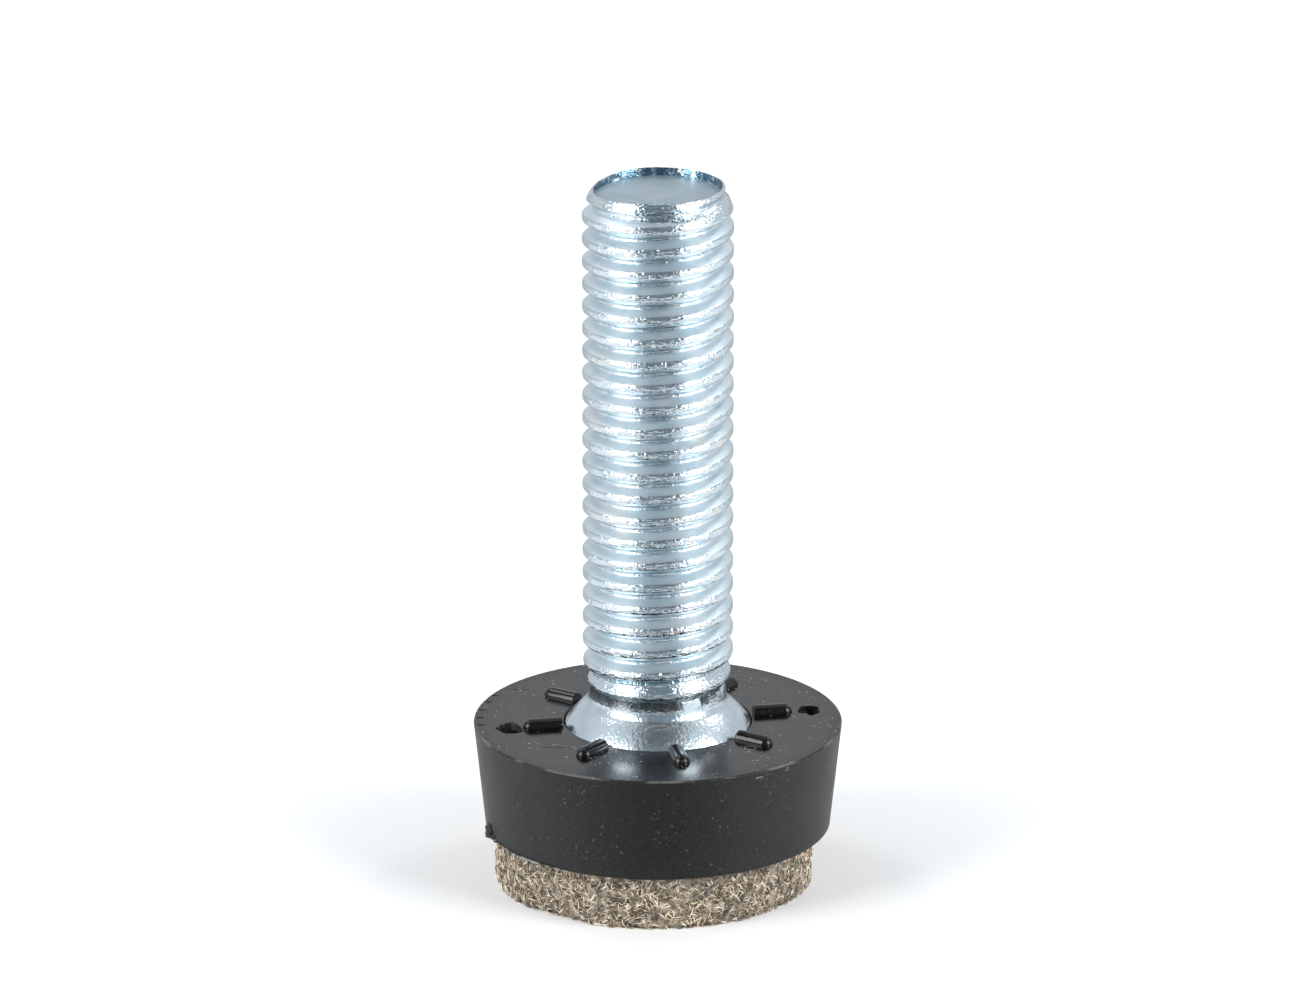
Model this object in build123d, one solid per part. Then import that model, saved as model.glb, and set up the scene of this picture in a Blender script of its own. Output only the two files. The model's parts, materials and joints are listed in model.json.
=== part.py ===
"""Swivel levelling foot: threaded stud with a ball head, moulded base and felt pad.

Millimetres. The Z axis is the axis of the base and the upright stud. The origin is in the
middle of the felt's underside, which rests on the floor.
"""
import os
from math import acos, asin, cos, degrees, radians, sin, sqrt

from build123d import *

# Felt pad: a punched disc, glued a little off the base's axis
felt_d = 20.7
felt_t = 3.75
felt_off_axis = 0.26

# Ball head and neck of the stud
ball_d = 15.0
neck_d = 8.9
neck_len = 1.1
neck_fillet_r = 0.35
head_rim_chamfer = 0.25

# Threaded shank: M10 x 1.5, drawn at the diameter of its crests
thread_d = 9.85
thread_len = 33.6

# Tapered and cupped end of the shank
tip_taper_len = 1.7
lip_d = 8.6
cup_mouth_d = 8.2
cup_floor_d = 8.1
cup_depth = 0.42

# Swivel: how far the stud leans each way, and what it may need beyond that
swivel_deg = 12.0
underside_slack_deg = 2.0
mouth_slack_deg = 5.1

# Socket of the base
socket_gap = 0.06
seat_gap = 0.05
floor_t = 1.2
ball_centre_above_floor = 1.3
mouth_chamfer = 0.1

# Outside of the base: a disc that tapers downwards
base_top_d = 24.0
base_bottom_d = 22.5
top_rim_chamfer = 0.12

# Half-round ribs on the base, round the mouth of the socket
rib_count = 8
rib_first_deg = 10.5
rib_r = 0.55
rib_len = 2.6
rib_mouth_gap = 0.25

# Gate pits, outside the first rib and the one opposite
gate_pit_count = 2
gate_pit_d = 1.5
gate_pit_floor_d = 1.0
gate_pit_depth = 0.35
gate_pit_rib_gap = 0.4

# Heights and radii that follow
ball_r = ball_d / 2
socket_r = ball_r + socket_gap
floor_z = felt_t + floor_t
pivot_z = floor_z + ball_centre_above_floor
neck_z = pivot_z + sqrt(ball_r**2 - (neck_d / 2) ** 2)
thread_z = neck_z + neck_len
stud_top_z = thread_z + thread_len
mouth_deg = degrees(asin(neck_d / ball_d)) + swivel_deg + mouth_slack_deg
mouth_r = socket_r * sin(radians(mouth_deg))
base_top_z = pivot_z + socket_r * cos(radians(mouth_deg))
rib_start_r = mouth_r + rib_mouth_gap
rib_end_r = rib_start_r + rib_len


def polar(radius, deg_from_down):
    """A point of the section, at an angle from straight below the ball's centre."""
    turn = radians(deg_from_down)
    return radius * sin(turn), pivot_z - radius * cos(turn)


def turned(outline):
    """A closed outline of radius and height, turned round the Z axis."""
    return revolve(Plane.XZ * make_face(outline), Axis.Z)


def circle_edges(solid, radius, height):
    """The round edges of a turned solid at this radius and height."""
    return [
        edge
        for edge in solid.edges().filter_by(GeomType.CIRCLE)
        if abs(edge.radius - radius) < 1e-3 and abs(edge.center().Z - height) < 1e-3
    ]


def make_stud():
    """Shank, neck and ball head, turned and rolled from one bar.

    The head's underside is a cone, steeper than the swivel, so that only its round tip
    touches the socket's floor.
    """
    tip_r = ball_centre_above_floor - seat_gap
    cone_deg = swivel_deg + underside_slack_deg
    rim_deg = cone_deg + degrees(acos(tip_r / ball_r))
    neck_deg = 180 - degrees(asin(neck_d / ball_d))
    tip = polar(tip_r, 0)
    tip_end = polar(tip_r, cone_deg)
    rim_on_cone = polar(ball_r - head_rim_chamfer, rim_deg)
    rim_on_ball = polar(ball_r, rim_deg + degrees(head_rim_chamfer / ball_r))
    neck = (neck_d / 2, neck_z)
    shank = [
        neck,
        (neck_d / 2, thread_z),
        (thread_d / 2, thread_z),
        (thread_d / 2, stud_top_z - tip_taper_len),
        (lip_d / 2, stud_top_z),
        (cup_mouth_d / 2, stud_top_z),
        (cup_floor_d / 2, stud_top_z - cup_depth),
        (0, stud_top_z - cup_depth),
        tip,
    ]
    outline = [
        ThreePointArc(tip, polar(tip_r, cone_deg / 2), tip_end),
        Polyline(tip_end, rim_on_cone, rim_on_ball),
        ThreePointArc(rim_on_ball, polar(ball_r, (rim_deg + neck_deg) / 2), neck),
        Polyline(*shank),
    ]
    stud = turned(outline)
    return fillet(circle_edges(stud, *neck), neck_fillet_r)


def make_rib(turn_deg):
    """A rod with a round outer end, half sunk in the top of the base."""
    rod = Cylinder(rib_r, rib_len - rib_r, align=(Align.CENTER, Align.CENTER, Align.MIN))
    rod += Pos(0, 0, rib_len - rib_r) * Sphere(rib_r)
    lying = Pos(rib_start_r, 0, base_top_z) * Rot(0, 90, 0) * rod
    return Rot(0, 0, turn_deg) * lying


def make_gate_pit(turn_deg):
    """The tapered plug that leaves a shallow round pit in the top of the base."""
    plug = Cone(
        gate_pit_floor_d / 2,
        gate_pit_d / 2,
        gate_pit_depth,
        align=(Align.CENTER, Align.CENTER, Align.MAX),
    )
    pit_r = rib_end_r + gate_pit_rib_gap + gate_pit_d / 2
    return Rot(0, 0, turn_deg) * Pos(pit_r, 0, base_top_z) * plug


def make_base():
    """Moulded disc with a snap socket: straight below the ball's centre, round above it."""
    top_r = base_top_d / 2
    disc = turned(
        Polyline(
            (0, felt_t),
            (base_bottom_d / 2, felt_t),
            (top_r, base_top_z - top_rim_chamfer),
            (top_r - top_rim_chamfer, base_top_z),
            (0, base_top_z),
            close=True,
        )
    )
    for i in range(rib_count):
        disc += make_rib(rib_first_deg + i * 360 / rib_count)

    flare_deg = 180 - mouth_deg - degrees(mouth_chamfer / socket_r)
    flare_r = mouth_r + mouth_chamfer
    socket = turned(
        [
            Polyline((0, floor_z), (socket_r, floor_z), (socket_r, pivot_z)),
            ThreePointArc(
                polar(socket_r, 90),
                polar(socket_r, (90 + flare_deg) / 2),
                polar(socket_r, flare_deg),
            ),
            Polyline(
                polar(socket_r, flare_deg),
                (flare_r, base_top_z),
                (flare_r, base_top_z + rib_r),
                (0, base_top_z + rib_r),
                (0, floor_z),
            ),
        ]
    )
    base = disc - socket
    for i in range(gate_pit_count):
        base -= make_gate_pit(rib_first_deg + i * 360 / gate_pit_count)
    return base


def make_felt_pad():
    """Felt disc under the base."""
    return Pos(-felt_off_axis, 0, 0) * Cylinder(
        felt_d / 2, felt_t, align=(Align.CENTER, Align.CENTER, Align.MIN)
    )


parts = {
    "threaded_stud": make_stud(),
    "base": make_base(),
    "felt_pad": make_felt_pad(),
}

os.makedirs("parts", exist_ok=True)
for name, solid in parts.items():
    export_step(solid, f"parts/{name}.step")

print(f"swivel centre at z = {pivot_z:.3f}, top of the base at {base_top_z:.3f}")
print(f"mouth radius {mouth_r:.3f}, thread from {thread_z:.3f} to {stud_top_z:.3f}")
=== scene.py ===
# %% [markdown]
# A swivel levelling foot
#
# The object screws into the leg of a cupboard or a table and keeps it level. It is a zinc-plated
# stud with a rolled thread, whose ball head is trapped in a black plastic base, and a disc of
# wool felt glued under the base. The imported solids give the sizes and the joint. Here each of
# the three pieces is modelled again with the detail that is too fine for a solid, and gets its
# finish. Shapes are drawn in millimetres and brought to metres when a piece is finished.

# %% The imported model, its box and its pieces
import json
import random
from math import acos, atan2, asin, cos, degrees, hypot, pi, radians, sin, sqrt, tau

import bmesh
import bpy
from mathutils import Matrix, Vector, noise


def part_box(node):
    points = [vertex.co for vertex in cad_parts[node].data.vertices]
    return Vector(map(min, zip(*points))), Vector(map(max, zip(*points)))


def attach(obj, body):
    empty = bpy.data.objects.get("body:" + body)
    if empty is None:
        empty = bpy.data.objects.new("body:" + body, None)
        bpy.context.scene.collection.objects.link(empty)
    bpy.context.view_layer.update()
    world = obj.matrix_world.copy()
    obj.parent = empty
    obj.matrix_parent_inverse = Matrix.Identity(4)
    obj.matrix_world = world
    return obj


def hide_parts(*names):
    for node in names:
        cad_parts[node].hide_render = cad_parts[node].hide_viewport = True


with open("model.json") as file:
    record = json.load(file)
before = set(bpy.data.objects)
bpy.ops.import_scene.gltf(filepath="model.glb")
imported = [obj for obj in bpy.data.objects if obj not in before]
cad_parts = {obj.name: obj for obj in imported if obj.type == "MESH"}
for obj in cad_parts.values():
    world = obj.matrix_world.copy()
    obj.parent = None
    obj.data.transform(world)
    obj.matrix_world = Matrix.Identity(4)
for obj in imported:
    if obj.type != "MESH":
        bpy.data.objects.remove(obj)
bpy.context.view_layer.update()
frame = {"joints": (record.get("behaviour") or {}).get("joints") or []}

MM = 0.001


def node_box(name):
    """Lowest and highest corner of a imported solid, in millimetres."""
    return [[value / MM for value in corner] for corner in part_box(name)]


stud_low, stud_high = node_box("threaded_stud")
base_low, base_high = node_box("base")
felt_low, felt_high = node_box("felt_pad")
print("stud", stud_low, stud_high)
print("base", base_low, base_high)
print("felt", felt_low, felt_high)

# %% [markdown]
# The camera
#
# The photograph was taken from far away with a long lens, a little more than 18 degrees above
# the level. The distance, the height and the lens were fitted to the crests of the thread and
# to the round rims, which all have a known shape. The lens is given in pixels of the
# photograph, because that is how it was measured, and is turned into millimetres here.

# %% Camera at the photograph's place
photo_width_px = 1300
lens_px = 9438.7
sensor_width = 36.0
camera_place = (-0.51, -579.88, 216.445)
camera_tilt_deg = 18.2

camera_data = bpy.data.cameras.new("camera")
camera_data.sensor_width = sensor_width
camera_data.lens = lens_px / photo_width_px * sensor_width
camera_data.clip_start = 0.01
camera_data.clip_end = 20
camera = bpy.data.objects.new("camera", camera_data)
camera.location = Vector(camera_place) * MM
camera.rotation_euler = (radians(90 - camera_tilt_deg), 0, 0)
bpy.context.scene.collection.objects.link(camera)
bpy.context.scene.camera = camera
print(f"lens {camera_data.lens:.1f} mm")

# %% [markdown]
# Small helpers for turned shapes
#
# The stud and the base are round, so both start from half a section. The half section is a
# row of vertices, each a radius and a height, and the spin operator carries it round the axis.
# A point on the axis leaves a pole, and merging the doubles closes it. Arcs in a section are
# worked out from a centre, a radius and two angles, so that they stay round at any size.


# %% Half sections and spinning
def arc(centre_r, centre_z, radius, start_deg, end_deg, steps):
    """Points of an arc in the section, with 0 degrees outwards and 90 degrees up."""
    points = []
    for i in range(steps + 1):
        turn = radians(start_deg + (end_deg - start_deg) * i / steps)
        points.append((centre_r + radius * cos(turn), centre_z + radius * sin(turn)))
    return points


def draw_section(bm, points):
    """A row of vertices and edges in the XZ plane."""
    row = [bm.verts.new((r, 0, z)) for r, z in points]
    edges = [bm.edges.new(pair) for pair in zip(row, row[1:])]
    return row + edges


def spin_round(bm, points, steps):
    """The section turned all the way round the Z axis, with its poles and seam closed."""
    section = draw_section(bm, points)
    bmesh.ops.spin(
        bm, geom=section, cent=(0, 0, 0), axis=(0, 0, 1), angle=tau, steps=steps, use_merge=True
    )
    bmesh.ops.remove_doubles(bm, verts=bm.verts, dist=1e-4)
    bmesh.ops.recalc_face_normals(bm, faces=bm.faces)


def move_to_radius(vert, radius):
    """Moves a vertex straight in or out from the Z axis."""
    now = hypot(vert.co.x, vert.co.y)
    vert.co.x *= radius / now
    vert.co.y *= radius / now


def ramp(value, low, high):
    """0 below low, 1 above high and a straight rise between them."""
    return min(1, max(0, (value - low) / (high - low)))


# %% Finished pieces
def to_object(bm, name):
    """The bmesh as an object in the scene, still in millimetres."""
    mesh = bpy.data.meshes.new(name)
    bm.to_mesh(mesh)
    bm.free()
    thing = bpy.data.objects.new(name, mesh)
    bpy.context.scene.collection.objects.link(thing)
    return thing


def finish_piece(thing, body, nodes, sharp_deg=40):
    """Brings a piece to metres, shades it smooth between its sharp edges and hands it over."""
    thing.data.transform(Matrix.Scale(MM, 4))
    thing.data.shade_smooth()
    thing.data.set_sharp_from_angle(angle=radians(sharp_deg))
    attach(thing, body)
    if nodes:
        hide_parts(*nodes)
    thing.data.calc_loop_triangles()
    print(thing.name, len(thing.data.loop_triangles), "triangles")
    return thing


# %% [markdown]
# The rolled thread
#
# On the real stud the thread is rolled: hard dies press the valleys in, and the crests rise
# and come out round. A stack of rings would look almost the same from afar, but a thread
# climbs, and the ends give rings away. So one pitch of the profile is spun round the axis
# with a small rise at every step, which is what a screw is. The valley at the end of one
# turn then meets the valley at the start of the next, and merging the doubles joins them.

# %% Sizes and profile of the thread
pitch = 1.5
crest_r = 4.925
root_r = 4.165
blank_r = 4.45
crest_round = 0.38
root_round = 0.159
flank_deg = 30
crest_z_at_x = 44.21
turns_below = 22
first_crest_z = crest_z_at_x - turns_below * pitch


def thread_profile():
    """Radius and height of one pitch, from valley to valley, round the first crest."""
    lean = 90 - flank_deg
    valley = arc(root_r + root_round, -pitch / 2, root_round, 180, 180 - lean, 3)
    crest = arc(crest_r - crest_round, 0, crest_round, -lean, lean, 8)
    return valley + crest + [(r, -z) for r, z in reversed(valley)]


profile = thread_profile()
print("profile points", len(profile), "depth", crest_r - root_r)

# %% [markdown]
# Both ends of the thread are cut level, and then the radii are corrected. Towards the ball
# the dies ran out, so crest and valley both fade to the radius of the plain bar. At the tip
# the bar had a chamfer before rolling, so the first turns are not quite full, and the crest
# that is left there leans over to form a low lip round a shallow dish.

# %% How the ends of the thread fade
thread_low = 13.387
thread_top = stud_high[2]
run_out_full_z = 15.3
run_out_slope = 0.62
run_out_left = 0.25
tip_full_z = 45.2
tip_slope = 0.375
tip_valley_gap = 0.06
lip_r = 4.29
lip_round = 0.15
lip_release = 4
lip_drop = 0.3
lip_low_deg = 183
lip_low_half_deg = 80
lip_drop_reach = 0.9
uneven_depth = 0.012
uneven_per_mm = 0.9


def crest_height(vert):
    """Height of the crest on whose turn a vertex lies."""
    climb = pitch * (atan2(vert.co.y, vert.co.x) / tau)
    off = (vert.co.z - crest_z_at_x - climb + pitch / 2) % pitch - pitch / 2
    return vert.co.z - off


def trimmed_radius(vert):
    """Radius of a thread vertex, once both ends have faded and the tip has its chamfer."""
    radius = hypot(vert.co.x, vert.co.y)
    height = vert.co.z
    run_out = ramp(crest_height(vert), thread_low, run_out_full_z)
    radius = blank_r + (radius - blank_r) * (run_out_left + (1 - run_out_left) * run_out)
    shallow = ramp(height, tip_full_z, thread_top)
    radius = max(radius, root_r + (lip_r - tip_valley_gap - root_r) * shallow)
    radius += uneven_depth * noise.noise(vert.co * uneven_per_mm)
    radius = min(radius, lip_r + tip_slope * (thread_top - height))
    above = max(0, height - thread_top + lip_round)
    round_edge = lip_r - lip_round + sqrt(max(0, lip_round**2 - above**2))
    radius = min(radius, round_edge + lip_release * max(0, lip_round - above))
    return min(radius, blank_r + run_out_slope * (height - thread_low))


def lip_sag(vert):
    """How far the lip hangs where the last valley leaves the bar."""
    off = degrees(atan2(vert.co.y, vert.co.x)) % 360 - lip_low_deg
    if abs(off) >= 90:
        return 0
    return lip_drop * max(0, cos(radians(off * 90 / lip_low_half_deg))) ** 1.5


print("thread from", thread_low, "to", thread_top)

# %% Spinning the thread and trimming its ends
steps_per_turn = 96
turn_doublings = 5

stud = bmesh.new()
section = draw_section(stud, [(r, first_crest_z + z) for r, z in profile])
bmesh.ops.spin(
    stud,
    geom=section,
    cent=(0, 0, 0),
    axis=(0, 0, 1),
    dvec=(0, 0, pitch / steps_per_turn),
    angle=tau,
    steps=steps_per_turn,
)
for doubling in range(turn_doublings):
    turns = bmesh.ops.duplicate(stud, geom=stud.verts[:] + stud.edges[:] + stud.faces[:])["geom"]
    upper = [v for v in turns if isinstance(v, bmesh.types.BMVert)]
    bmesh.ops.translate(stud, verts=upper, vec=(0, 0, pitch * 2**doubling))
bmesh.ops.remove_doubles(stud, verts=stud.verts, dist=1e-3)
for level, upwards in ((thread_low, -1), (thread_top, 1)):
    bmesh.ops.bisect_plane(
        stud,
        geom=stud.verts[:] + stud.edges[:] + stud.faces[:],
        dist=1e-4,
        plane_co=(0, 0, level),
        plane_no=(0, 0, upwards),
        clear_outer=True,
    )
for vert in stud.verts:
    move_to_radius(vert, trimmed_radius(vert))
    vert.co.z -= lip_sag(vert) * ramp(vert.co.z, thread_top - lip_drop_reach, thread_top)
print("thread vertices", len(stud.verts))

# %% [markdown]
# The tip, the neck and the ball head
#
# The open ends of the thread are rings of edges. Each ring is extruded from one point of a
# half section to the next, which keeps the piece in one skin. The tip has a lip and a
# shallow dish, left by the rolling. Downwards come the neck, its round hollow, the ball that
# shows as a dome, and inside the base the ball's rim and the cone that ends in a round tip.


# %% Rings drawn from the ends of the thread
def open_ring(bm, height):
    """The open edges of a mesh at this height."""
    near = pitch / 2
    return [e for e in bm.edges if e.is_boundary and abs(e.verts[0].co.z - height) < near]


def extrude_ring(bm, ring, radius, height, sag=0):
    """Extrudes a ring of edges to another radius and height, and returns the new ring."""
    made = bmesh.ops.extrude_edge_only(bm, edges=ring)["geom"]
    verts = {v for v in made if isinstance(v, bmesh.types.BMVert)}
    for vert in verts:
        move_to_radius(vert, radius)
        vert.co.z = height - sag * lip_sag(vert)
    return [e for e in made if isinstance(e, bmesh.types.BMEdge) and set(e.verts) <= verts]


def close_ring(bm, ring, height):
    """Closes a ring of edges to a pole on the axis."""
    made = bmesh.ops.extrude_edge_only(bm, edges=ring)["geom"]
    verts = [v for v in made if isinstance(v, bmesh.types.BMVert)]
    bmesh.ops.pointmerge(bm, verts=verts, merge_co=(0, 0, height))


# %% Dish at the tip
dish_depth = 0.55
dish_floor_r = 4.08
lip_inner_r = 4.11

# Radius, depth and share of the lip's sag, ring by ring from the lip to the middle
dish_rings = (
    (lip_inner_r + 0.02, 0, 1),
    (lip_inner_r, 0.03, 1),
    (lip_inner_r - 0.01, dish_depth * 0.5, 0.7),
    (dish_floor_r, dish_depth - 0.04, 0.5),
    (dish_floor_r - 0.04, dish_depth, 0.4),
    (dish_floor_r - 0.2, dish_depth, 0.3),
    (2.6, dish_depth, 0),
    (1.2, dish_depth, 0),
)
ring = open_ring(stud, thread_top)
for radius, depth, sag in dish_rings:
    ring = extrude_ring(stud, ring, radius, thread_top - depth, sag)
close_ring(stud, ring, thread_top - dish_depth)
print("rings in the dish", len(dish_rings))

# %% Neck and ball head
pivot_z = frame["joints"][0]["pos_m"][2] / MM
ball_r = 7.5
neck_hollow_r = 0.9
tip_r = pivot_z - stud_low[2]
tip_end_deg = -89
cone_deg = 14.0
rim_round = 0.25
rim_round_deg = 2

hollow_r = blank_r + neck_hollow_r
hollow_z = pivot_z + sqrt((ball_r + neck_hollow_r) ** 2 - hollow_r**2)
meet_deg = degrees(asin((hollow_z - pivot_z) / (ball_r + neck_hollow_r)))
rim_deg = cone_deg + degrees(acos(tip_r / ball_r)) - 90

outline = arc(hollow_r, hollow_z, neck_hollow_r, 180, 180 + meet_deg, 10)
outline += arc(0, pivot_z, ball_r, meet_deg, rim_deg + rim_round_deg, 36)[1:]
outline += arc(0, pivot_z, ball_r - rim_round, rim_deg, rim_deg, 1)[:1]
outline += arc(0, pivot_z, tip_r, cone_deg - 90, tip_end_deg, 6)

ring = open_ring(stud, thread_low)
for radius, height in outline:
    ring = extrude_ring(stud, ring, radius, height)
close_ring(stud, ring, stud_low[2])
bmesh.ops.remove_doubles(stud, verts=stud.verts, dist=1e-4)
bmesh.ops.recalc_face_normals(stud, faces=stud.faces)
print("open edges left", sum(e.is_boundary for e in stud.edges))

threaded_stud = finish_piece(
    to_object(stud, "zinc_stud"), "stud_body", ["threaded_stud"]
)

# %% [markdown]
# The moulded base
#
# The base is one moulding: a disc that narrows downwards, with a socket for the ball. It is
# spun from a section that runs over the top, down into the socket and across its floor. The
# eight ribs round the mouth are half-round rods with a round outer end. They are made as
# whole rods and joined to the disc by a Boolean modifier, so that the moulding stays one
# closed skin. The two pits are where the plastic ran in and was torn off, so the cutters
# for them are lumpy, and a few small nicks in the rim are cut the same way. A torn nub on the
# lower rim is made of the same kind of lumps, which are joined on instead.

# %% Disc and socket
base_top_z = 10.748
base_top_r = (base_high[0] - base_low[0]) / 2
base_foot_z = base_low[2]
base_foot_r = 11.25
rim_soft = 0.1
foot_soft = 0.08
socket_r = 7.56
socket_floor_z = 4.95
mouth_r = 6.077
mouth_soft = 0.1
base_steps = 192

mouth_deg = degrees(acos(mouth_r / socket_r))
mouth_soft_deg = mouth_deg - degrees(mouth_soft / socket_r)
section = [(0, base_foot_z), (base_foot_r - foot_soft, base_foot_z)]
section += [(base_foot_r, base_foot_z + foot_soft)]
section += arc(base_top_r - rim_soft, base_top_z - rim_soft, rim_soft, 0, 90, 3)
section += [(mouth_r + mouth_soft, base_top_z)]
section += arc(0, pivot_z, socket_r, mouth_soft_deg, 0, 12)
section += [(socket_r, socket_floor_z), (0, socket_floor_z)]

disc = bmesh.new()
spin_round(disc, section, base_steps)
base = to_object(disc, "moulded_base")
print("disc faces", len(base.data.polygons))

# %% Ribs
rib_count = 8
rib_first_deg = 10.5
rib_r = base_high[2] - base_top_z
rib_mouth_gap = 0.25
rib_start_r = mouth_r + rib_mouth_gap
rib_len = 2.6
rib_soft = 0.12
rib_steps = 36


def at_angle(turn_deg, radius, height):
    """A matrix that stands something at this angle and radius from the axis."""
    return Matrix.Rotation(radians(turn_deg), 4, "Z") @ Matrix.Translation((radius, 0, height))


def join(bm, other):
    """Adds another bmesh to this one."""
    mesh = bpy.data.meshes.new("joined")
    other.to_mesh(mesh)
    other.free()
    bm.from_mesh(mesh)
    bpy.data.meshes.remove(mesh)


def add_rib(bm, turn_deg):
    """A rod along the radius, with a soft inner end and a round outer end."""
    outline = [(0, 0)] + arc(rib_r - rib_soft, rib_soft, rib_soft, -90, 0, 3)
    outline += arc(0, rib_len - rib_r, rib_r, 0, 90, 9)
    rod = bmesh.new()
    spin_round(rod, outline, rib_steps)
    turn = at_angle(turn_deg, rib_start_r, base_top_z) @ Matrix.Rotation(pi / 2, 4, "Y")
    bmesh.ops.transform(rod, matrix=turn, verts=rod.verts)
    join(bm, rod)


ribs = bmesh.new()
for i in range(rib_count):
    add_rib(ribs, rib_first_deg + i * 360 / rib_count)
print("rib faces", len(ribs.faces))


# %% Torn nub, pits and nicks
def add_lump(bm, matrix, size, rough, seed, detail=3):
    """A torn lump: a ball whose skin is pushed in and out."""
    lump = bmesh.new()
    bmesh.ops.create_icosphere(lump, subdivisions=detail, radius=1)
    for vert in lump.verts:
        push = noise.noise(vert.co * 1.7 + Vector((seed, 0, 0)))
        push += 0.5 * noise.noise(vert.co * 4.1 + Vector((0, seed, 0)))
        vert.co *= 1 + rough * push
    bmesh.ops.transform(lump, matrix=matrix @ Matrix.Diagonal((*size, 1)), verts=lump.verts)
    join(bm, lump)


# Angle, radius, height, half sizes and seed of each lump of the nub
nub_lumps = (
    (194.5, base_foot_r + 0.02, base_foot_z + 0.3, (0.3, 0.62, 0.5), 3),
    (198.9, base_foot_r - 0.1, base_foot_z + 0.12, (0.24, 0.3, 0.3), 8),
)
for turn_deg, radius, height, size, seed in nub_lumps:
    add_lump(ribs, at_angle(turn_deg, radius, height), size, rough=0.5, seed=seed)
added = to_object(ribs, "added")

# Radius and half sizes of each pit: outwards, across and down
pits = ((10.02, (0.7, 0.95, 0.95)), (9.78, (0.8, 1.1, 1.0)))
nick_degs = (156.5, 163.1, 171.0, 178.3, 185.5)
nick_r = base_top_r - 0.42

cuts = bmesh.new()
for i, (pit_r, size) in enumerate(pits):
    place = at_angle(rib_first_deg + 180 * i, pit_r, base_top_z)
    add_lump(cuts, place, size, rough=0.28, seed=11 + 9 * i, detail=4)
for i, turn_deg in enumerate(nick_degs):
    place = at_angle(turn_deg, nick_r, base_top_z)
    size = (0.3, 0.1 + 0.02 * (i % 3), 0.16)
    add_lump(cuts, place, size, rough=0.5, seed=31 + i, detail=2)
removed = to_object(cuts, "removed")
print("faces to add", len(added.data.polygons), "to remove", len(removed.data.polygons))


# %% Booleans, applied
def evaluated_mesh(thing):
    """A new mesh of the object, with its modifiers or its curve settings applied."""
    graph = bpy.context.evaluated_depsgraph_get()
    return bpy.data.meshes.new_from_object(thing.evaluated_get(graph))


def apply_boolean(thing, other, operation):
    """Applies a Boolean modifier and deletes the other shape."""
    modifier = thing.modifiers.new(operation, "BOOLEAN")
    modifier.operation = operation
    modifier.solver = "EXACT"
    modifier.use_self = True
    modifier.object = other
    result = evaluated_mesh(thing)
    thing.modifiers.clear()
    thing.data = result
    bpy.data.objects.remove(other)


apply_boolean(base, added, "UNION")
apply_boolean(base, removed, "DIFFERENCE")
check = bmesh.new()
check.from_mesh(base.data)
print("base faces", len(check.faces), "open edges", sum(not e.is_manifold for e in check.edges))
check.free()
finish_piece(base, "base_body", ["base"], sharp_deg=14)

# %% [markdown]
# The flash line
#
# Where the two halves of the mould met, a hair-thin fin of plastic was squeezed out along
# the lower rim. It shows as a pale line, whose pale grey colour is partly whitened plastic and
# partly a painted highlight. A painted line would miss the ragged edge that shows against the
# felt, so it is a thin blade, spun through part of a turn.

# %% Flash along the lower rim
flash_from_deg = 197
flash_to_deg = 236
flash_root = 0.15
flash_out = 0.1
flash_t = 0.05
flash_steps = 40

fin = bmesh.new()
corners = (
    (base_foot_r - flash_root, base_foot_z - 0.01),
    (base_foot_r + flash_out, base_foot_z + 0.02),
    (base_foot_r + flash_out * 0.9, base_foot_z + 0.02 + flash_t),
    (base_foot_r - flash_root, base_foot_z + 0.06 + flash_t),
)
blade = fin.faces.new([fin.verts.new((r, 0, z)) for r, z in corners])
bmesh.ops.spin(
    fin,
    geom=[blade],
    cent=(0, 0, 0),
    axis=(0, 0, 1),
    angle=radians(flash_to_deg - flash_from_deg),
    steps=flash_steps,
)
to_start = Matrix.Rotation(radians(flash_from_deg), 3, "Z")
bmesh.ops.rotate(fin, verts=fin.verts, cent=(0, 0, 0), matrix=to_start)
for vert in fin.verts:
    out = hypot(vert.co.x, vert.co.y) - base_foot_r
    if out > 0:
        along = atan2(vert.co.y, vert.co.x)
        ragged = 0.7 + 0.5 * noise.noise(Vector((along * 30, 0, 0)))
        move_to_radius(vert, base_foot_r + out * ragged)
bmesh.ops.recalc_face_normals(fin, faces=fin.faces)
print("flash open edges", sum(e.is_boundary for e in fin.edges))
flash = finish_piece(to_object(fin, "mould_flash"), "base_body", [])

# %% [markdown]
# The felt pad
#
# The pad is punched and trimmed from pressed wool, so its edge is nearly upright, a little
# uneven and cut flat in places. A smooth drum with a speckled colour looks like stone, and
# what makes felt look like felt is its fibres. So the drum is only the core: it is spun,
# pushed in and out a little, and then covered with thousands of short bent fibres that lie
# along its skin, each a thin tube.

# %% Outline of the felt
felt_centre_x = (felt_low[0] + felt_high[0]) / 2
felt_r = (felt_high[0] - felt_low[0]) / 2
felt_t = felt_high[2]
felt_trim = 0.04
felt_noise_r = 5

# The way each flat faces, in degrees, and its distance from the middle of the pad
flats = ((232, 9.95), (262, 10.28), (315, 10.3), (20, 10.26), (95, 10.2), (150, 10.24))


def felt_edge(angle):
    """Radius of the pad's outline, round but for the flats where it was trimmed."""
    radius = felt_r - felt_trim
    for flat_deg, distance in flats:
        across = cos(angle - radians(flat_deg))
        if across > 0.5:
            radius = min(radius, distance / across)
    return radius


def felt_point(angle, height, out):
    """A point of the pad's side, with its unevenness, in millimetres."""
    place = Vector((cos(angle) * felt_noise_r, sin(angle) * felt_noise_r, height))
    uneven = 0.07 * noise.noise(place * 0.8) + 0.05 * noise.noise(place * 2.6)
    radius = felt_edge(angle) + uneven + out
    return Vector((felt_centre_x + radius * cos(angle), radius * sin(angle), height))


print("felt radius", felt_r, "thickness", felt_t)

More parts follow.
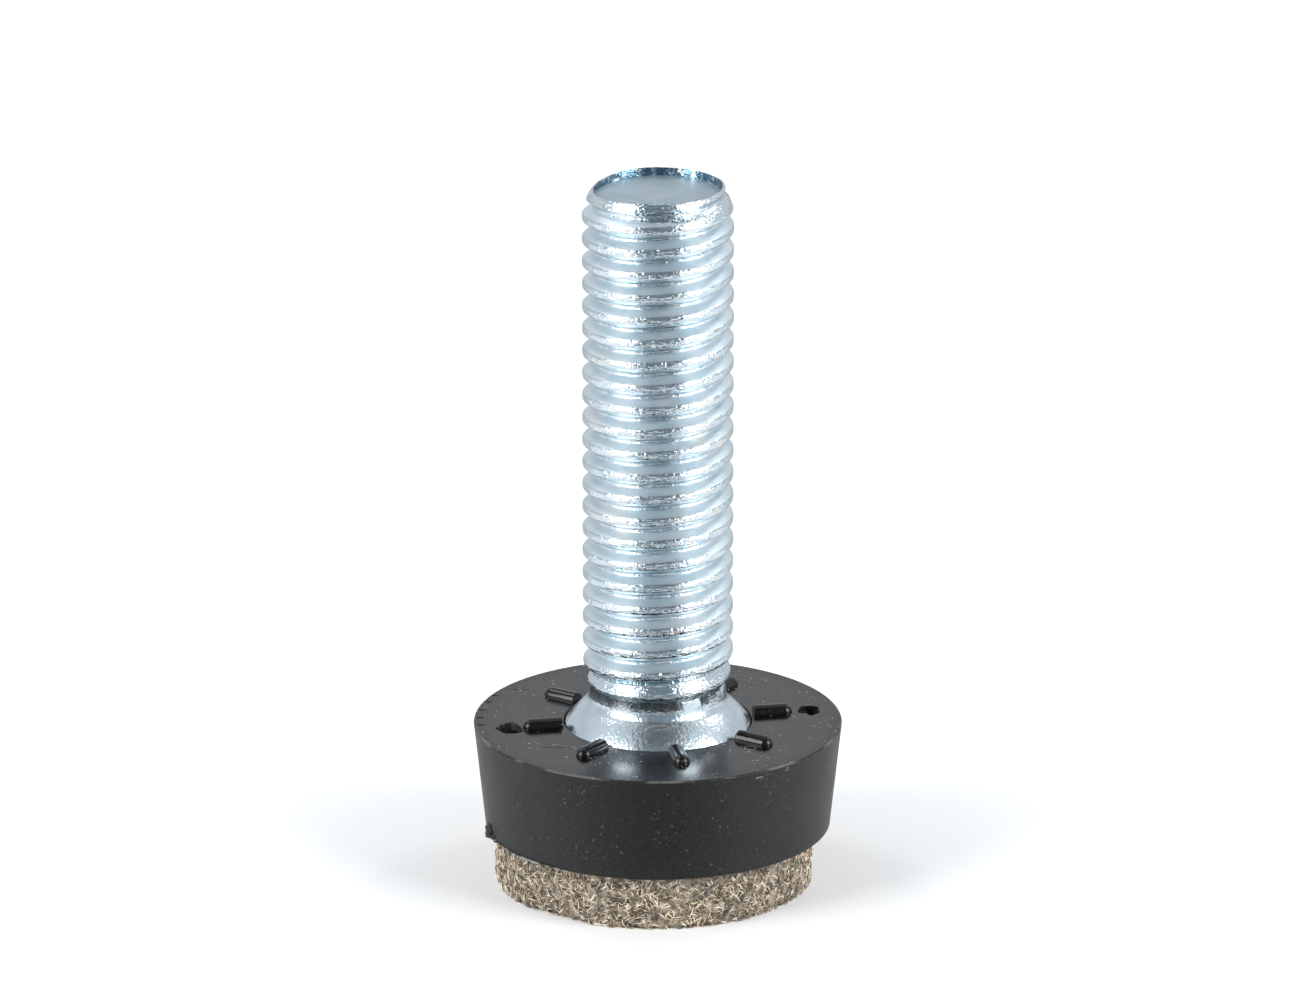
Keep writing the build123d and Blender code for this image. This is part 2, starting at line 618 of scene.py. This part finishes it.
# %% Core of the felt
felt_levels = 16
felt_steps = 256
core_inset = 0.09
edge_round = 0.12
edge_reach = 0.35
core_lumps = 0.05
core_face_gap = 0.01

core = bmesh.new()
section = [(0, 0), (felt_r * 0.5, 0), (felt_r * 0.9, 0)]
section += [(felt_r, felt_t * i / felt_levels) for i in range(felt_levels + 1)]
section += [(felt_r * 0.9, felt_t), (0, felt_t)]
spin_round(core, section, felt_steps)
for vert in core.verts:
    if hypot(vert.co.x, vert.co.y) > felt_r * 0.95:
        angle = atan2(vert.co.y, vert.co.x)
        from_edge = min(vert.co.z, felt_t - vert.co.z)
        inwards = core_inset + edge_round * (1 - ramp(from_edge, 0, edge_reach))
        vert.co = felt_point(angle, vert.co.z, -inwards)
        vert.co += core_lumps * noise.noise_vector(vert.co * 4.0)
        vert.co.z = min(felt_t - core_face_gap, max(core_face_gap, vert.co.z))
    else:
        vert.co.x += felt_centre_x
bmesh.ops.recalc_face_normals(core, faces=core.faces)
felt_core = finish_piece(
    to_object(core, "felt_core"), "base_body", ["felt_pad"], sharp_deg=180
)

# %% Fibres over the felt
fibre_count = 5200
fibre_points = 5
fibre_thickness = 0.065
fibre_arch = 0.05
fibre_face_gap = 0.04
random.seed(41)

fibre_curve = bpy.data.curves.new("fibres", "CURVE")
fibre_curve.dimensions = "3D"
fibre_curve.bevel_depth = fibre_thickness / 2
fibre_curve.bevel_resolution = 0
fibre_curve.resolution_u = 1
fibre_curve.use_fill_caps = True
fibre_tones = []
for i in range(fibre_count):
    angle = random.uniform(0, tau)
    height = random.uniform(0.05, felt_t - 0.02)
    length = random.uniform(0.35, 0.9)
    heading = random.gauss(0, 1.2)
    bend = random.gauss(0, 0.9)
    lift = random.uniform(-0.09, 0.0)
    spline = fibre_curve.splines.new("POLY")
    spline.points.add(fibre_points - 1)
    for j, point in enumerate(spline.points):
        along = j / (fibre_points - 1) - 0.5
        way = heading + bend * along
        angle += length / (fibre_points - 1) * cos(way) / felt_r
        height += length / (fibre_points - 1) * sin(way)
        level = min(felt_t - fibre_face_gap, max(fibre_face_gap, height))
        point.co = (*felt_point(angle, level, lift + fibre_arch * cos(pi * along)), 1)
        point.radius = 1.15 - 1.5 * abs(along)
    fibre_tones.append(random.random())
print("fibres", len(fibre_curve.splines))

# %% Fibres as a mesh, each with its own tone
fibre_object = bpy.data.objects.new("fibre_curves", fibre_curve)
bpy.context.scene.collection.objects.link(fibre_object)
fibre_mesh = evaluated_mesh(fibre_object)
bpy.data.objects.remove(fibre_object)
felt_fibres = bpy.data.objects.new("felt_fibres", fibre_mesh)
bpy.context.scene.collection.objects.link(felt_fibres)
vertex_count = len(fibre_mesh.vertices)
per_fibre = vertex_count // fibre_count
tone = fibre_mesh.attributes.new("tone", "FLOAT", "POINT")
tone.data.foreach_set("value", [fibre_tones[i // per_fibre] for i in range(vertex_count)])
finish_piece(felt_fibres, "base_body", [], sharp_deg=180)
print("vertices in a fibre", per_fibre)

# %% [markdown]
# Writing a material as sums
#
# A material is a graph of nodes, and a page of links is hard to read. The class below wraps
# one output of a node, so that Python's own signs add the Math nodes: 1 - mask is a Subtract
# node, and mask * 0.3 a Multiply node. Every other node comes from one method that sets the
# node's own settings first and then fills its sockets with numbers or links.


# %% Sums of nodes
class Wire:
    """One output of a shader node, which Python's signs can work on."""

    def __init__(self, finish, socket):
        self.finish = finish
        self.socket = socket

    def __add__(self, other):
        return self.finish.maths("ADD", self, other)

    def __sub__(self, other):
        return self.finish.maths("SUBTRACT", self, other)

    def __mul__(self, other):
        return self.finish.maths("MULTIPLY", self, other)

    def __rsub__(self, other):
        return self.finish.maths("SUBTRACT", other, self)

    def __gt__(self, other):
        return self.finish.maths("GREATER_THAN", self, other)

    def __lt__(self, other):
        return self.finish.maths("LESS_THAN", self, other)

    def __abs__(self):
        return self.finish.maths("ABSOLUTE", self)

    __radd__ = __add__
    __rmul__ = __mul__


# %% A finish and its nodes
class Finish:
    """A material with one Principled shader, and the nodes that vary it."""

    def __init__(self, name, **constants):
        self.material = bpy.data.materials.new(name)
        self.material.use_nodes = True
        self.tree = self.material.node_tree
        self.shader = self.tree.nodes["Principled BSDF"]
        for socket, value in constants.items():
            self.shader.inputs[socket.replace("_", " ")].default_value = value
        self.place = self.add("ShaderNodeTexCoord", {}, {}, "Object")

    def add(self, kind, settings, inputs, output=0):
        """Adds a node: its settings come first, then the values or links of its sockets."""
        node = self.tree.nodes.new(kind)
        for name, value in settings.items():
            setattr(node, name, value)
        for name, value in inputs.items():
            if isinstance(value, Wire):
                self.tree.links.new(value.socket, node.inputs[name])
            else:
                node.inputs[name].default_value = value
        return Wire(self, node.outputs[output])

    def maths(self, operation, first, second=0):
        """A Math node of two numbers."""
        return self.add("ShaderNodeMath", {"operation": operation}, {0: first, 1: second})

    def vector_maths(self, operation, first, second=(0, 0, 0), output="Value"):
        """A Vector Math node of two places."""
        return self.add(
            "ShaderNodeVectorMath", {"operation": operation}, {0: first, 1: second}, output
        )

    def noise(self, size_mm, detail=3, roughness=0.5, place=None):
        """Noise with lumps of about this size, between 0 and 1."""
        return self.add(
            "ShaderNodeTexNoise",
            {},
            {
                "Vector": place or self.place,
                "Scale": 1 / (size_mm * MM),
                "Detail": detail,
                "Roughness": roughness,
            },
        )

    def cells(self, size_mm, place=None):
        """Distance to scattered points about this far apart, 0 at a point."""
        return self.add(
            "ShaderNodeTexVoronoi",
            {},
            {"Vector": place or self.place, "Scale": 1 / (size_mm * MM)},
            "Distance",
        )

    def rise(self, value, low, high):
        """0 below low and 1 above high, with a soft start and end."""
        return self.add(
            "ShaderNodeMapRange",
            {"interpolation_type": "SMOOTHSTEP"},
            {"Value": value, "From Min": low, "From Max": high},
        )

    def mix(self, factor, first, second):
        """One colour turning into another: the Mix node has its colours in sockets 6 and 7."""
        return self.add(
            "ShaderNodeMix", {"data_type": "RGBA"}, {0: factor, 6: first, 7: second}, 2
        )

    def stretch(self, factors):
        """Object coordinates with each axis multiplied, so that a pattern is drawn out."""
        return self.add("ShaderNodeMapping", {}, {"Vector": self.place, "Scale": factors})

    def axis(self, name):
        """One object coordinate, in metres."""
        return self.add("ShaderNodeSeparateXYZ", {}, {"Vector": self.place}, name)

    def from_axis(self):
        """Distance from the object's Z axis, in metres."""
        return self.vector_maths("LENGTH", self.stretch((1, 1, 0)))

    def bump(self, height, depth_mm):
        """Gives the surface a relief of this depth."""
        return self.add("ShaderNodeBump", {}, {"Height": height, "Distance": depth_mm * MM})

    def feed(self, **links):
        """Links what varies to the shader."""
        for socket, wire in links.items():
            self.tree.links.new(wire.socket, self.shader.inputs[socket.replace("_", " ")])
        print(self.material.name, len(self.tree.nodes), "nodes")

    def put_on(self, thing):
        """Makes this the only material of a piece."""
        thing.data.materials.clear()
        thing.data.materials.append(self.material)


def grey(value):
    """A grey of this brightness, opaque."""
    return (value, value, value, 1)


# %% [markdown]
# Zinc plating
#
# Bright zinc is a soft mirror with a blue cast. It shows the room as bands, so the colour
# hardly changes and the look comes from the relief. Rolling draws the skin out along the
# thread, which leaves level streaks and a few upright dents on crests and valleys. The upper
# flanks slid over the dies and are duller and smoother. The ball head has a fine grain and
# almost no streaks, and the dish at the tip was never touched by a die, so it is matt. The
# dish and the inner wall of its lip are also coloured a darker blue, which is painted shade.
# How far a point is above the nearest crest comes from its height and its turn round the axis.

# %% Where each finish of the stud lies
dish_edge_r = dish_floor_r - 0.03
wall_edge_r = lip_r - 0.12
dish_low_z = thread_top - dish_depth - lip_drop - 0.05
tip_clear = 1.2
flank_start = pitch / 2 + 0.22
flank_end = pitch - 0.02
flank_soft = 0.11
head_soft = 0.3

zinc = Finish("zinc_plating", Metallic=1.0)
stud_height = zinc.axis("Z")
stud_radius = zinc.from_axis()
at_tip = stud_height > dish_low_z * MM
is_dish = at_tip * (stud_radius < dish_edge_r * MM)
is_wall = at_tip * (stud_radius > dish_edge_r * MM) * (stud_radius < wall_edge_r * MM)

# Height within one turn of the thread, with the crest at half a pitch
turn = zinc.maths("ARCTAN2", zinc.axis("Y"), zinc.axis("X"))
climbed = (stud_height - turn * (pitch / tau * MM)) * (1 / MM) + (pitch - crest_z_at_x)
off_crest = zinc.maths("FLOORED_MODULO", climbed + pitch / 2, pitch)
in_thread = (stud_height > run_out_full_z * MM) * (stud_height < (thread_top - tip_clear) * MM)
is_flank = zinc.rise(off_crest, flank_start, flank_start + flank_soft)
is_flank = is_flank * zinc.rise(off_crest, flank_end, flank_end - flank_soft) * in_thread
on_thread = zinc.rise(stud_height, (thread_low - head_soft) * MM, (thread_low + head_soft) * MM)
print("dish edge", dish_edge_r, "flank from", flank_start, "to", flank_end)

# %% Zinc finish
zinc_dark = (0.54, 0.64, 0.69, 1)
zinc_light = (0.62, 0.69, 0.74, 1)
zinc_warm = (0.70, 0.69, 0.66, 1)
dish_shade_blue = (0.11, 0.19, 0.25, 1)
zinc_relief = 0.055

patches = zinc.noise(1.6, detail=4)
tint = zinc.mix(zinc.rise(patches, 0.35, 0.65), zinc_dark, zinc_light)
warm = zinc.rise(zinc.noise(2.7, detail=2), 0.58, 0.72)
tint = zinc.mix(warm * 0.4, tint, zinc_warm)
# Painted shade: the dish, and the inner wall of the lip in patches, are darkened towards a dark
# blue
shade = is_dish * 0.33 + is_wall * zinc.rise(zinc.noise(0.5, detail=2), 0.66, 0.5)

streaks = zinc.noise(1.1, detail=2, roughness=0.55, place=zinc.stretch((1, 1, 8)))
short_streaks = zinc.noise(0.5, detail=2, place=zinc.stretch((1, 1, 3.5)))
dents = zinc.rise(zinc.cells(0.9, place=zinc.stretch((2.2, 2.2, 0.7))), 0.0, 0.2)
grain = zinc.noise(0.22, detail=1)
streaky = (streaks * 0.9 + short_streaks * 1.3 + dents * 0.5 - 1.6) * (0.05 + on_thread * 0.95)
grainy = (grain - 0.5) * (0.45 + on_thread * 0.15)
relief = (streaky + grainy) * (1 - is_dish) * (1 - is_flank * 0.8)
zinc.feed(
    Base_Color=zinc.mix(shade, tint, dish_shade_blue),
    Roughness=0.17 + patches * 0.12 - 0.07 * on_thread + 0.36 * is_dish + 0.3 * is_flank,
    Normal=zinc.bump(relief, zinc_relief),
)
zinc.put_on(threaded_stud)

# %% [markdown]
# Black plastic
#
# One moulding, three finishes: the side is satin with a fine sparkle, the top is glossier
# and mirrors the dome near the mouth, and the ribs are glossy. The mould had those finishes,
# so each is chosen by where on the object a point is. Use has added dust and a few scratches.
# A pale line along the top rim is a painted highlight, and a small pale ring is drawn on the
# top beside a rib.

# %% Where each finish of the base lies
plastic = Finish("black_plastic", IOR=1.40)
base_height = plastic.axis("Z")
base_radius = plastic.from_axis()


def from_top(up):
    """A height measured from the top of the base, in metres."""
    return (base_top_z + up) * MM


def from_rim(out):
    """A radius measured from the rim of the base, in metres."""
    return (base_top_r + out) * MM


is_top = plastic.rise(base_height, from_top(-0.09), from_top(-0.02))
is_rib = plastic.rise(base_height, from_top(0.01), from_top(0.05))
near_mouth = plastic.rise(base_radius, from_rim(-0.1), from_rim(-2.1))
in_pit = plastic.rise(base_height, from_top(-0.09), from_top(-0.16))
in_pit = in_pit * (base_height > from_top(-0.6)) * (base_radius < from_rim(-0.4))
at_rim = plastic.rise(base_radius, from_rim(-0.16), from_rim(-0.08))
at_rim = at_rim * plastic.rise(base_height, from_top(-0.14), from_top(-0.07))
print("top of the base", from_top(0), "rim", from_rim(0))

# %% Dust, the painted rim highlight and the ring mark
# A small pale ring drawn on the top beside the front-right rib
ring_mark_place = (5.96, -5.56, base_top_z)
ring_mark_r = 0.36

sparkle = plastic.noise(0.11, detail=3, roughness=0.7)
dust_spots = plastic.rise(plastic.cells(0.44) + plastic.noise(0.25) * 0.5, 0.48, 0.35)
dust_area = plastic.rise(plastic.noise(2.2, detail=3), 0.45, 0.6) * (0.2 + is_top * 0.8)
dust = dust_spots * dust_area * (1 - is_rib * 0.8)
# Painted highlight: a pale, patchy line along the top rim
rim_painted_highlight = at_rim * plastic.rise(plastic.noise(2.4, detail=4), 0.45, 0.6)
from_mark = plastic.vector_maths("DISTANCE", plastic.place, Vector(ring_mark_place) * MM)
ring_mark = plastic.rise(abs(from_mark - ring_mark_r * MM), 0.07 * MM, 0.03 * MM)
grains = plastic.rise(sparkle, 0.55, 0.75) * (1 - is_top)
print("ring mark at", ring_mark_place)


# %% Scratches
def scratch(from_xyz, to_xyz, half_width):
    """1 on a thin straight mark between two points of the surface, in millimetres."""
    start = Vector(from_xyz) * MM
    end = Vector(to_xyz) * MM
    along = (end - start).normalized()
    offset = plastic.vector_maths("SUBTRACT", plastic.place, start, output="Vector")
    run = plastic.vector_maths("DOT_PRODUCT", offset, along)
    reach = plastic.vector_maths("LENGTH", offset)
    aside = reach * reach - run * run
    return (aside < (half_width * MM) ** 2) * (run > 0) * (run < (end - start).length)


hairlines = scratch((-7.4, -5.42, base_top_z), (-6.0, -5.5, base_top_z), 0.05)
hairlines = hairlines + scratch((-9.7, 5.9, base_top_z), (-8.4, 5.8, base_top_z), 0.05)
side_marks = scratch((6.3, -10.18, 10.33), (8.4, -8.5, 10.5), 0.05)
side_marks = side_marks + scratch((8.2, -8.7, 10.35), (10.1, -6.4, 10.52), 0.04)
print("nodes so far", len(plastic.tree.nodes))

# %% Plastic finish
plastic_black = grey(0.004)
dust_grey = (0.30, 0.29, 0.27, 1)
rib_rough = 0.08
pit_rough = 0.6
plastic_relief = 0.05

clouds = plastic.noise(2.2, detail=5)
side_rough = 0.36 + clouds * 0.16
top_rough = 0.21 + clouds * 0.14 - near_mouth * 0.22
rough = side_rough * (1 - is_top) + top_rough * is_top
rough = rough * (1 - is_rib) + rib_rough * is_rib + hairlines * 0.7
marks = dust * 0.8 + rim_painted_highlight * 0.3 + ring_mark * 0.35 + side_marks * 0.6 + grains * 0.15
plastic.feed(
    Base_Color=plastic.mix(marks * (1 - in_pit), plastic_black, dust_grey),
    Roughness=rough * (1 - in_pit) + pit_rough * in_pit,
    Normal=plastic.bump(sparkle * (1 - is_top * 0.9) - hairlines * 0.5, plastic_relief),
)
plastic.put_on(base)

# Pale grey in patches: partly whitened plastic, partly a painted highlight
flash_whitened_and_highlight = Finish("flash_plastic", IOR=1.47, Roughness=0.35)
pale = flash_whitened_and_highlight.rise(flash_whitened_and_highlight.noise(0.6), 0.4, 0.7)
flash_whitened_and_highlight.feed(Base_Color=flash_whitened_and_highlight.mix(pale, grey(0.02), grey(0.3)))
flash_whitened_and_highlight.put_on(flash)

# %% [markdown]
# Wool felt
#
# Pressed wool from mixed rags is mottled: most fibres are sand and grey, some are dark brown
# and a few nearly white. The core carries the mottling in its colour, and each fibre has a
# tone of its own, stored on the mesh when the fibres were made. Patches of fibres are also
# darkened, which is painted shade.

# %% Felt finish
felt_brown = (0.06, 0.045, 0.035, 1)
felt_sand = (0.42, 0.34, 0.25, 1)
felt_grey = (0.30, 0.26, 0.21, 1)
felt_relief = 0.12

felt = Finish("wool_felt", Roughness=0.95)
mottling = felt.noise(0.5, detail=5, roughness=0.7)
blotches = felt.noise(1.3, detail=3)
mottled = felt.mix(felt.rise(mottling, 0.4, 0.62), felt_brown, felt_sand)
felt.feed(
    Base_Color=felt.mix(felt.rise(blotches, 0.42, 0.7), mottled, felt_grey),
    Normal=felt.bump(mottling, felt_relief),
)
felt.put_on(felt_core)

# %% Fibre finish
fibre_brown = (0.07, 0.05, 0.035, 1)
fibre_sand = (0.49, 0.39, 0.27, 1)
fibre_pale = (1.0, 0.90, 0.74, 1)

wool = Finish("wool_fibre", Roughness=0.8)
fibre_tone = wool.add("ShaderNodeAttribute", {"attribute_name": "tone"}, {}, "Fac")
fibre_colour = wool.mix(wool.rise(fibre_tone, 0.1, 0.3), fibre_brown, fibre_sand)
fibre_colour = wool.mix(wool.rise(fibre_tone, 0.4, 1.0), fibre_colour, fibre_pale)
# Painted shade: random patches of fibres are darkened almost to black
fibre_painted_shade = wool.mix(0.68, fibre_colour, grey(0.03))
patch_shade = wool.rise(wool.noise(0.6, detail=3), 0.38, 0.5)
wool.feed(Base_Color=wool.mix(patch_shade, fibre_painted_shade, fibre_colour))
wool.put_on(felt_fibres)

# %% [markdown]
# Floor and light
#
# The foot was photographed in a bright room with soft lights on both sides, and the dark side
# of the room between them, where the camera stood. The metal shows all of it: white bands
# left and right, and a dark band in the middle. So there is a pale surrounding, two large
# soft lamps, two weak ones behind that make the pale spots on the ball head, and a dark sheet
# and a bar in front, where the camera stands. Three cloths on the floor, two black in front
# and a grey one behind, are there for the metal alone. The camera sees none of these cloths,
# and the ones on the floor throw no shadow.


# %% Floor and surroundings
def sheet(name, size):
    """A level square with its middle at the origin, still a bare mesh."""
    bm = bmesh.new()
    bmesh.ops.create_grid(bm, x_segments=1, y_segments=1, size=size / 2)
    return to_object(bm, name)


floor = sheet("floor", 6)
paper = Finish("white_paper", Roughness=1.0, Specular_IOR_Level=0.0)
paper.feed(Base_Color=paper.mix(paper.noise(30), grey(0.88), grey(0.9)))
paper.put_on(floor)

room_colour = (0.93, 0.965, 1.0, 1)
room_strength = 0.78
world = bpy.data.worlds.new("room")
world.use_nodes = True
world.node_tree.nodes["Background"].inputs["Color"].default_value = room_colour
world.node_tree.nodes["Background"].inputs["Strength"].default_value = room_strength
bpy.context.scene.world = world
bpy.context.scene.view_settings.view_transform = "Standard"
print("room", room_colour[:3], "strength", room_strength)


# %% Lamps
def aim(thing, target):
    """Turns something so that its face, its -Z side, points at a target."""
    thing.rotation_euler = (Vector(target) - thing.location).to_track_quat("-Z", "Y").to_euler()


lamp_target = (0, 0, 0.025)

# Name, place and size in metres, and power in watts
lamps = (
    ("left", (-0.60, -0.34, 0.35), (0.42, 0.5), 4.8),
    ("right", (0.60, -0.34, 0.35), (0.42, 0.5), 4.8),
    ("back_left", (-0.30, 0.22, 0.56), (0.17, 0.17), 0.4),
    ("back_right", (0.38, 0.26, 0.50), (0.17, 0.17), 0.4),
)
for name, place, size, power in lamps:
    lamp_data = bpy.data.lights.new("lamp_" + name, "AREA")
    lamp_data.shape = "RECTANGLE"
    lamp_data.size, lamp_data.size_y = size
    lamp_data.energy = power
    lamp = bpy.data.objects.new("lamp_" + name, lamp_data)
    lamp.location = place
    aim(lamp, lamp_target)
    lamp.visible_camera = False
    bpy.context.scene.collection.objects.link(lamp)
print("lamps", [name for name, *rest in lamps])


# %% Dark sheets in front
def cloth(name, colour):
    """A matt finish of one colour, with no shine."""
    return Finish(name, Base_Color=colour, Roughness=1.0, Specular_IOR_Level=0.0)


def hang(name, finish, size, place, target):
    """A sheet of this width and height that faces a target, unseen by the camera."""
    hung = sheet(name, 1)
    hung.scale = (*size, 1)
    hung.location = place
    aim(hung, target)
    finish.put_on(hung)
    hung.visible_camera = False


blue_cloth = cloth("blue_grey_cloth", (0.22, 0.26, 0.29, 1))
dark_cloth = cloth("dark_cloth", grey(0.1))
hang("dark_sheet", blue_cloth, (0.60, 0.70), (0.01, -0.42, 0.35), (0.01, 0, 0.35))
hang("dark_bar", dark_cloth, (0.5, 0.29), (0.02, -0.202, 0.616), (0, 0, 0.02))
print("cloths", blue_cloth.material.name, dark_cloth.material.name)

# %% Cloths on the floor
runner_z = 0.0005
black_cloth = cloth("black_cloth", grey(0.06))
mid_cloth = cloth("mid_grey_cloth", grey(0.5))

# Half width and place along Y of each cloth's edge at the foot, then of its far edge
runners = (
    ("near_runner", black_cloth, (0.009, -0.016), (0.016, -0.03)),
    ("far_runner", black_cloth, (0.05, -0.08), (0.26, -0.4)),
    ("back_runner", mid_cloth, (0.06, 0.03), (0.8, 0.8)),
)
for name, finish, (x1, y1), (x2, y2) in runners:
    corners = ((-x1, y1), (x1, y1), (x2, y2), (-x2, y2))
    runner_mesh = bmesh.new()
    runner_mesh.faces.new([runner_mesh.verts.new((x, y, runner_z)) for x, y in corners])
    runner = to_object(runner_mesh, name)
    finish.put_on(runner)
    runner.visible_camera = False
    runner.visible_shadow = False
    runner.visible_diffuse = False
print("runners", [name for name, *rest in runners])
